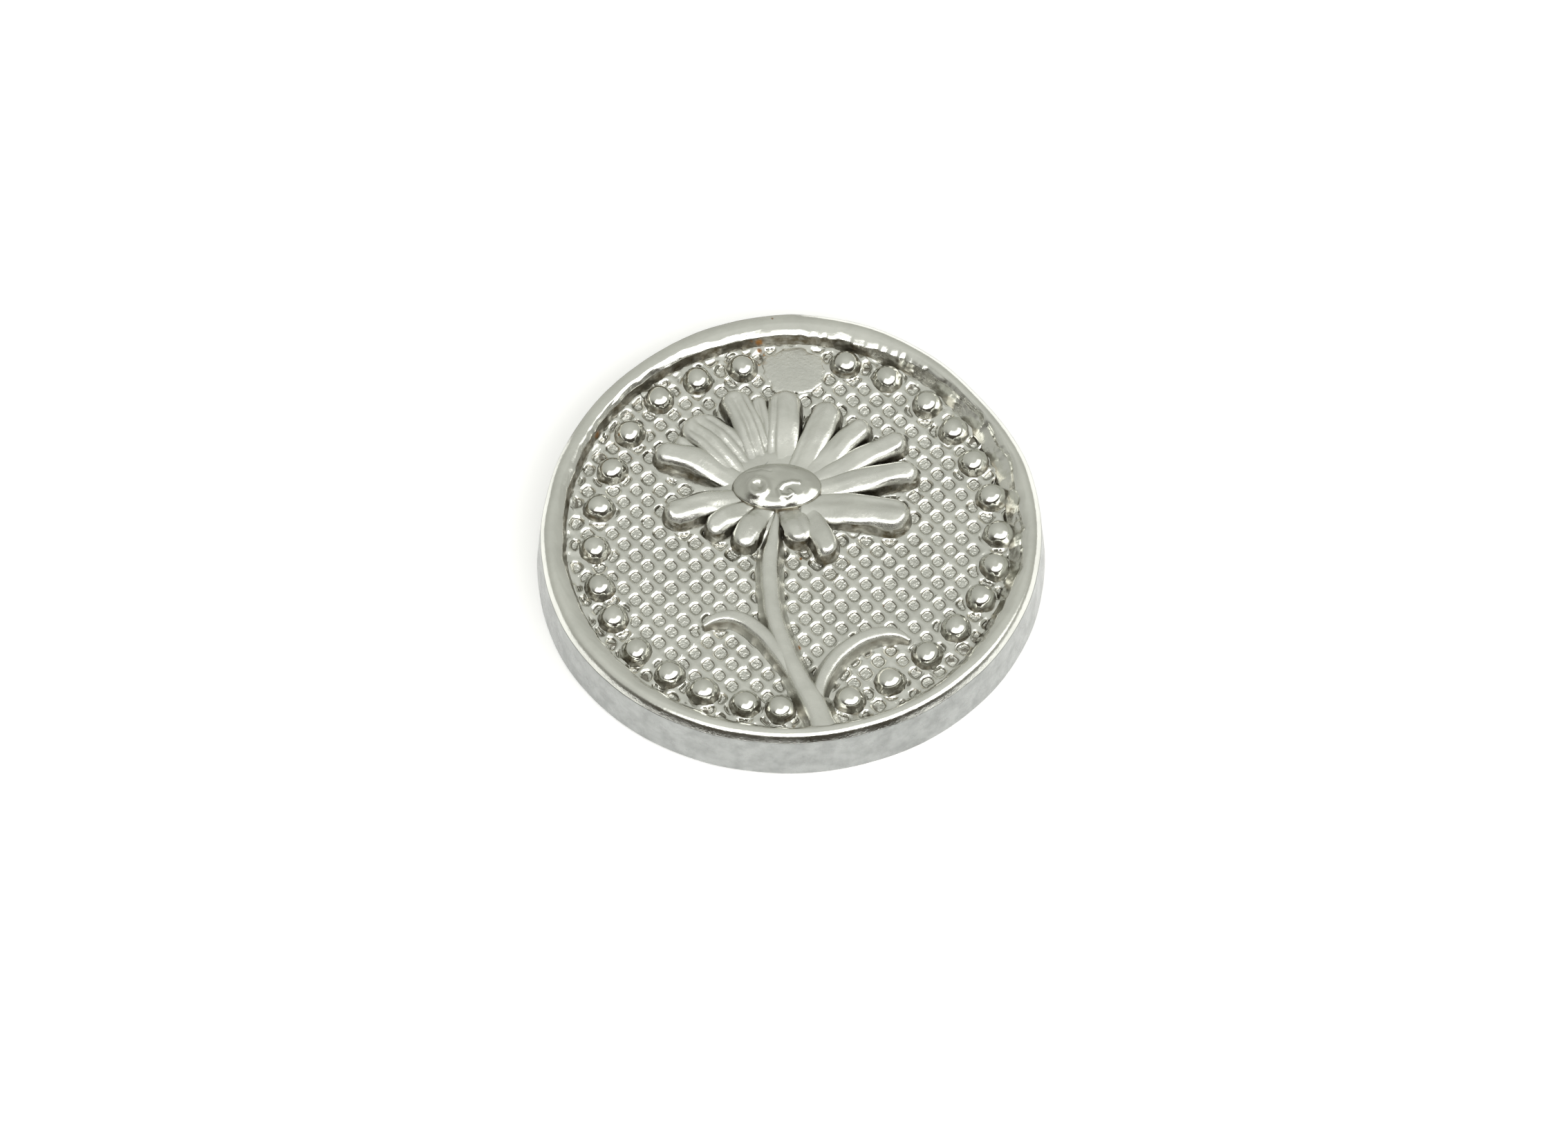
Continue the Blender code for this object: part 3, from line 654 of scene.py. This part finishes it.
def build_field():
    """A plate built cell by cell on the lattice: loops round each pit, inside the cell's own border."""
    spokes = np.radians(45 + 360 / PIT_SPOKES * np.arange(PIT_SPOKES))
    c, s = np.cos(spokes), np.sin(spokes)
    square = 0.5 * np.stack([c, s], -1) / np.maximum(np.abs(c), np.abs(s))[:, None]
    girth = (np.abs(c) ** PIT_ROUND + np.abs(s) ** PIT_ROUND) ** (1 / PIT_ROUND)
    rounded = np.stack([c, s], -1) / girth[:, None]
    corners = np.array([(0.5, 0.5), (-0.5, 0.5), (-0.5, -0.5), (0.5, -0.5)])
    step_p, step_q, origin = np.array(LATTICE_P), np.array(LATTICE_Q), np.array(LATTICE_ORIGIN)
    points, faces, shared = [], [], {}

    def add(spot, outside, luck):
        points.append((spot[0], spot[1], outside, luck))
        return len(points) - 1

    for i in range(-LATTICE_REACH, LATTICE_REACH + 1):
        for j in range(-LATTICE_REACH, LATTICE_REACH + 1):
            reach = [np.hypot(*(origin + (i + p) * step_p + (j + q) * step_q)) for p, q in corners]
            if min(reach) > RIM_INNER + 0.05:
                continue
            luck = [float(noise(i * 7.31, j * 5.17, 1.0, seed)) for seed in (21, 22, 23, 24)]
            centre = origin + i * step_p + j * step_q
            pit = centre + 0.035 * np.array(luck[:2])
            half = PIT_HALF * (1 + 0.09 * luck[2])
            loop = []
            for p, q in square:
                key = (round(2 * (i + p) * 1e4), round(2 * (j + q) * 1e4))
                if key not in shared:
                    shared[key] = add(centre + p * step_p + q * step_q, 0.2, luck[3])
                loop.append(shared[key])
            for outside in PIT_LOOPS:
                inner = []
                for p, q in rounded * (half + outside / LATTICE_STEP):
                    inner.append(add(pit + p * step_p + q * step_q, outside, luck[3]))
                faces += [[loop[k - 1], loop[k], inner[k], inner[k - 1]] for k in range(PIT_SPOKES)]
                loop = inner
            middle = add(pit, -0.19, luck[3])
            faces += [[loop[k - 1], loop[k], middle] for k in range(PIT_SPOKES)]
    x, y, outside, luck = np.array(points).T
    # Beyond the rim's foot the plate is squeezed into a narrow band that the rim covers.
    r, limit, band = np.hypot(x, y), RIM_INNER + 0.08, 0.22
    squeeze = np.where(r > limit, (limit + band * (1 - np.exp(-(r - limit) / band))) / r, 1.0)
    x, y = x * squeeze, y * squeeze
    points = np.stack([x, y, field_height(x, y, outside, luck)], -1)
    border = border_loop(faces)
    base = points[border].copy()
    base[:, 2] = PLATE_BASE
    low = list(range(len(points), len(points) + len(border)))
    points = np.vstack([points, base, [0.0, 0.0, PLATE_BASE]])
    middle = len(points) - 1
    for k in range(len(border)):
        faces.append([border[k], border[k - 1], low[k - 1], low[k]])
        faces.append([low[k], low[k - 1], middle])
    # The cells wind with the lattice's own turn, which runs clockwise, so every face is turned over.
    piece = add_mesh("field_plate", points, [face[::-1] for face in faces])
    place(piece, "dimpled_field", FIELD_METAL)


# ---------------------------------------------------------------- relief

def build_beads():
    """Polished caps that end in a crease over a steep wall, which the metal darkens with tarnishing and
    painted shade.
    """
    around = np.linspace(0, math.tau, 56, endpoint=False)
    waist = math.radians(BEAD_WAIST)
    for number, (cx, cy) in enumerate(bead_centres(), start=1):
        top = BEAD_TOP + 0.02 * math.sin(number * 2.4)
        brow = top - BEAD_BALL * (1 - math.cos(waist))
        profile = [*BEAD_WALL, (BEAD_NECK, brow - 0.05)]
        for t in np.linspace(1, 0.03, 14):
            profile.append((BEAD_BALL * math.sin(waist * t), top - BEAD_BALL * (1 - math.cos(waist * t))))
        rings = []
        for radius, height in profile:
            wobble = 1 + 0.022 * np.cos(2 * around + number) + 0.02 * np.cos(3 * around + 2.1 * number)
            rough = 0.045 * noise(np.cos(around) * 3 + number * 9, np.sin(around) * 3 + height * 6, 0.7, 51)
            wobble += rough * (height < brow - 0.01)
            px, py = cx + radius * wobble * np.cos(around), cy + radius * wobble * np.sin(around)
            rings.append(np.stack([px, py, FIELD + height + 0.007 * noise(px, py, 0.25, 52)], -1))
        piece = add_solid("bead_%02d_cap" % number, np.array(rings))
        place(piece, "bead_%02d" % number, BEAD_METAL)


def build_pad():
    """The smooth patch at twelve o'clock, with a soft uneven border."""
    around = np.linspace(0, math.tau, 160, endpoint=False)
    edge = 1 + 0.10 * noise(np.cos(around) * 4, np.sin(around) * 4, 1.1, 61)
    edge += 0.03 * noise(np.cos(around) * 4, np.sin(around) * 4, 0.3, 62)
    rings = []
    for share, height in PAD_SECTION:
        px = PAD_CENTRE[0] + PAD_HALF[0] * share * edge * np.cos(around)
        py = PAD_CENTRE[1] + PAD_HALF[1] * share * edge * np.sin(around)
        uneven = 0.008 * noise(px, py, 0.5, 63) * (share < 0.98)
        rings.append(np.stack([px, py, FIELD + height + uneven], -1))
    piece = add_solid("pad_skin", np.array(rings))
    place(piece, "smooth_pad", PAD_METAL)


def edge_profile(inside, crest, drop, wide):
    """Height at a distance inside a lobe's foot: a steep wall, a rounded edge, then a nearly flat top."""
    wall = (crest - drop) * np.clip(inside / WALL_RUN, 0, 1) ** 0.8
    bend = np.clip((inside - WALL_RUN) / wide, 0, 1)
    edge = drop * (1 - (1 - bend) ** 2) * (inside > WALL_RUN)
    return wall + edge + 0.03 * np.clip(inside - WALL_RUN - wide, 0, 1)


def build_petal(number, root, tip, width, crest, bow, grooves):
    """One petal: a broad lobe with a round tip, which dips towards its root and rises to its lower edge."""
    root, tip = np.array(root), np.array(tip)
    along = (tip - root) / np.hypot(*(tip - root))
    side = np.array([-along[1], along[0]])
    half_foot = width / 2 + WALL_RUN
    length = np.hypot(*(tip - root)) + WALL_RUN
    straight = length - half_foot
    near_edge = np.array([0, 0.01, 0.03, 0.055, 0.085, 0.11, 0.125, 0.15, 0.19, 0.24, 0.30, 0.37])
    lines = np.concatenate([near_edge, np.linspace(0.44, half_foot, 9)[:-1]]) / half_foot
    across = np.concatenate([lines - 1, [0.0], 1 - lines[::-1]])
    tip_lines = straight + half_foot * np.sin(np.linspace(0.06, 1.5, 26))
    forward = np.concatenate([np.linspace(0, straight, 40), tip_lines])
    reach = np.clip(forward / straight, 0, 1)
    plan = half_foot * (0.92 + 0.08 * ease(0.0, 0.7, reach))
    tip_part = np.clip((forward - straight) / half_foot, 0, 1)
    half = plan * np.sqrt(np.maximum(1 - tip_part ** 2, 1e-4))
    f, v = np.meshgrid(forward, across, indexing="ij")
    lateral = v * half[:, None]
    inside = plan[:, None] - np.hypot(np.maximum(f - straight, 0), lateral)
    share = f / length
    sway = bow * np.sin(math.pi * share ** 0.9) + 0.06 * noise(f, 0.0, 0.9, 120 + number) * share
    swell = 1 + 0.09 * noise(f, 5 * np.sign(v), 0.7, 140 + number) * np.abs(v) * ease(0.3, 0.7, share)
    px = root[0] + along[0] * f + side[0] * (lateral * swell + sway)
    py = root[1] + along[1] * f + side[1] * (lateral * swell + sway)
    dish = PETAL_DISH + BACK_DISH * max(0.0, along[1]) * (along[0] < 0.1)
    body = crest * (1 - dish + dish * ease(0.15, 0.65, share))
    ahead = -along[0] * lateral
    past = ahead - (half_foot - 0.66)
    body = body + SHINGLE * ahead - FRONT_FALL * (np.hypot(past, 0.10) + past - 0.10) / 2
    bend = ease(0.15, 0.85, share)
    drop = EDGE_DROP[0] + (EDGE_DROP[1] - EDGE_DROP[0]) * bend
    wide = EDGE_WIDE[0] + (EDGE_WIDE[1] - EDGE_WIDE[0]) * bend
    height = edge_profile(np.clip(inside, 0, None), body, drop, wide)
    smooth = ease(WALL_RUN, 0.3, inside)
    for line, depth, spread in grooves:
        fade = ease(0.97, 0.80, share) * smooth
        cut = np.exp(-((lateral - line * plan[:, None]) / spread) ** 2)
        height -= (depth + 0.02 * noise(px, py, 0.09, 60 + number)) * cut * fade
    ribs = 0.036 * noise(f * 0.45, lateral * 2.2, 0.55, 100 + number) * np.clip(share * 2, 0, 1)
    uneven = 0.020 * noise(px, py, 0.55, 70 + number) + 0.006 * noise(px, py, 0.17, 90 + number)
    height += (ribs + uneven) * smooth
    rough = 0.03 * noise(px + 3 * height, py, 0.12, 80 + number) * (inside < WALL_RUN) * (inside > 0.005)
    px, py = px + side[0] * rough, py + side[1] * rough
    surface = np.stack([px, py, FIELD + height], -1)
    sole = surface[:, ::-1].copy()
    sole[..., 2] = FIELD - 0.10
    piece = add_solid("petal_%02d_lobe" % number, np.concatenate([surface, sole], axis=1))
    place(piece, "petal_%02d" % number, PETAL_METAL)


def build_flower_centre():
    """The oval button: a crisp edge, a small ringed pit on the left and a curl low on the right."""
    around = np.linspace(0, math.tau, 180, endpoint=False)
    inside = np.array([0, 0.012, 0.03, 0.055, 0.08, 0.105, 0.12, 0.14])
    inside = np.concatenate([inside, np.linspace(0.17, DOME_HALF[1] + 0.05, 58)])[:, None]
    share = np.clip(1 + (0.06 - inside) / DOME_HALF[1], 0.004, None)
    x = DOME_CENTRE[0] + DOME_HALF[0] * share * np.cos(around)
    y = DOME_CENTRE[1] + DOME_HALF[1] * share * np.sin(around)
    height = edge_profile(np.broadcast_to(inside, x.shape), DOME_CREST, 0.26, 0.42)
    from_ring = np.hypot(x - DOME_RING[0], y - DOME_RING[1]) - DOME_RING_RADIUS
    height += 0.11 * np.exp(-(from_ring / 0.15) ** 2)
    height -= 0.06 * np.exp(-(np.hypot(x - DOME_PIT[0], y - DOME_PIT[1]) / 0.13) ** 2)
    curl = line_gap(x, y, [(*knot, 0.0) for knot in DOME_CURL])
    height += 0.095 * np.exp(-(curl / 0.10) ** 2)
    scratch = line_gap(x, y, [(*knot, 0.0) for knot in DOME_SCRATCH])
    height -= 0.03 * np.exp(-(scratch / 0.04) ** 2)
    smooth = ease(0.12, 0.3, inside)
    height += (0.045 * noise(x, y, 0.7, 101) + 0.018 * noise(x, y, 0.25, 102)) * smooth
    rings = np.stack([x, y, FIELD + height], -1)
    skirt = rings[:1].copy()
    skirt[..., 2] = FIELD - 0.12
    piece = add_solid("flower_dome", np.concatenate([skirt, rings]))
    place(piece, "flower_centre", DOME_METAL)


def smooth_knots(knots, count):
    """Points on a smooth curve through the knots (Catmull-Rom), all their values together."""
    k = np.array(knots, dtype=float)
    k = np.vstack([2 * k[0] - k[1], k, 2 * k[-1] - k[-2]])
    out = []
    for s in np.linspace(0, len(knots) - 1 - 1e-9, count):
        i = int(s)
        t = s - i
        a, b, c, d = k[i:i + 4]
        square, cube = 2 * a - 5 * b + 4 * c - d, 3 * b - a - 3 * c + d
        out.append(0.5 * (2 * b + (c - a) * t + square * t ** 2 + cube * t ** 3))
    return np.array(out)


def build_strand(name, node, knots, count, seed):
    """The stem or a leaf: a broad flat-topped ribbon with steep flanks, swept along its curve."""
    path = smooth_knots(knots, count)
    tangent = np.gradient(path[:, :2], axis=0)
    tangent /= np.hypot(tangent[:, 0], tangent[:, 1])[:, None]
    side = np.stack([-tangent[:, 1], tangent[:, 0]], -1)
    fine = np.linspace(0, len(STRAND_SECTION) - 1, 52)
    across = np.interp(fine, range(len(STRAND_SECTION)), [s for s, _ in STRAND_SECTION])
    rise = np.interp(fine, range(len(STRAND_SECTION)), [h for _, h in STRAND_SECTION])
    uneven = 1 + 0.05 * noise(path[:, 0] * 1.7, path[:, 1] * 1.7, 1.0, seed)
    wide = (path[:, 2] * STRAND_WIDE * uneven)[:, None]
    px = path[:, None, 0] + side[:, None, 0] * across * wide
    py = path[:, None, 1] + side[:, None, 1] * across * wide
    bumps = 0.012 * noise(px, py, 0.45, seed + 5) + 0.005 * noise(px, py, 0.16, seed + 6)
    top = path[:, None, 3] * rise + bumps * np.clip(rise, 0, 1)
    piece = add_solid(name, np.stack([px, py, FIELD + top], -1))
    place(piece, node, STEM_METAL)


# ---------------------------------------------------------------- stage

def build_floor():
    """A plain pale sheet just under the token, with a faint glow of its own."""
    mesh = bpy.data.meshes.new("floor")
    corners = [(x * FLOOR_REACH, y * FLOOR_REACH, 0) for x, y in ((-1, -1), (1, -1), (1, 1), (-1, 1))]
    mesh.from_pydata(corners, [], [(0, 1, 2, 3)])
    floor = bpy.data.objects.new("floor", mesh)
    floor.location.z = CAD_BOX[0][2] - 0.01 * MM
    bpy.context.scene.collection.objects.link(floor)
    material = bpy.data.materials.new("floor_paper")
    material.use_nodes = True
    tree = material.node_tree
    shader = tree.nodes["Principled BSDF"]
    shader.inputs["Roughness"].default_value = 0.9
    shader.inputs["Specular IOR Level"].default_value = 0.1
    where = tree.nodes.new("ShaderNodeTexCoord").outputs["Object"]
    tone = ramp(tree, noise_texture(tree, where, 60.0, 2.0), ((0.3, grey(0.90)), (0.7, grey(0.92))))
    tree.links.new(tone, shader.inputs["Base Color"])
    shader.inputs["Emission Color"].default_value = (1, 1, 1, 1)
    shader.inputs["Emission Strength"].default_value = FLOOR_GLOW
    mesh.materials.append(material)


def build_world():
    """A pale room with one big softbox in front: mid grey behind and overhead, dark low in front."""
    world = bpy.data.worlds.new("room")
    bpy.context.scene.world = world
    world.use_nodes = True
    tree = world.node_tree
    tree.nodes.clear()
    out = tree.nodes.new("ShaderNodeOutputWorld")
    where = tree.nodes.new("ShaderNodeTexCoord").outputs["Generated"]
    split = tree.nodes.new("ShaderNodeSeparateXYZ")
    tree.links.new(where, split.inputs[0])
    x, y, z = split.outputs
    room = mix(tree, map_range(tree, y, -0.8, 0.1), ramp(tree, z, ROOM_AHEAD), ramp(tree, z, ROOM_BEHIND))
    # The direction around from the front, positive to the right.
    turn = tree.nodes.new("ShaderNodeMath")
    turn.operation = "ARCTAN2"
    tree.links.new(x, turn.inputs[0])
    tree.links.new(multiply(tree, y, -1.0), turn.inputs[1])
    left = map_range(tree, turn.outputs[0], *map(math.radians, SOFTBOX_LEFT))
    right = map_range(tree, turn.outputs[0], *map(math.radians, SOFTBOX_RIGHT))
    tall = multiply(tree, map_range(tree, z, *SOFTBOX_LOWER), map_range(tree, z, *SOFTBOX_UPPER))
    lamp = multiply(tree, multiply(tree, left, right), tall)
    box = add_node(tree, "ShaderNodeBackground", Color=(1.0, 0.995, 0.97, 1))
    tree.links.new(multiply(tree, lamp, SOFTBOX), box.inputs["Strength"])
    glow = add_node(tree, "ShaderNodeBackground", Strength=1.0)
    tree.links.new(room, glow.inputs["Color"])
    lit = tree.nodes.new("ShaderNodeAddShader")
    tree.links.new(box.outputs[0], lit.inputs[0])
    tree.links.new(glow.outputs[0], lit.inputs[1])
    plain = add_node(tree, "ShaderNodeBackground", Color=(1, 1, 1, 1), Strength=1.0)
    seen = tree.nodes.new("ShaderNodeLightPath")
    blend = tree.nodes.new("ShaderNodeMixShader")
    tree.links.new(seen.outputs["Is Camera Ray"], blend.inputs[0])
    tree.links.new(lit.outputs[0], blend.inputs[1])
    tree.links.new(plain.outputs[0], blend.inputs[2])
    tree.links.new(blend.outputs[0], out.inputs["Surface"])


def build_camera():
    """A long lens, looking down at the face from above the front edge."""
    data = bpy.data.cameras.new("camera")
    data.sensor_width = 36
    data.lens = CAMERA_LENS
    data.clip_start, data.clip_end = 0.01, 10
    camera = bpy.data.objects.new("camera", data)
    bpy.context.scene.collection.objects.link(camera)
    elevation = math.radians(CAMERA_ELEVATION)
    right = Vector((1, 0, 0))
    up = Vector((0, math.sin(elevation), math.cos(elevation)))
    back = Vector((0, -math.cos(elevation), math.sin(elevation)))
    aim = Vector((-SHIFT[0], -SHIFT[1], RIM_TOP))
    camera.location = (aim + right * CAMERA_RIGHT + up * CAMERA_ABOVE + back * CAMERA_AWAY) * MM
    camera.rotation_euler = Matrix((right, up, back)).transposed().to_euler()
    bpy.context.scene.camera = camera


build_disc_body()
build_rim()
build_field()
build_beads()
build_pad()
for number, petal in enumerate(PETALS, start=1):
    build_petal(number, *petal)
build_flower_centre()
build_strand("stem_strand", "stem", STEM, 130, 111)
build_strand("leaf_left_strand", "leaf_left", LEAF_LEFT, 90, 112)
build_strand("leaf_right_strand", "leaf_right", LEAF_RIGHT, 90, 113)
build_floor()
build_world()
build_camera()
bpy.context.scene.view_settings.view_transform = "Standard"
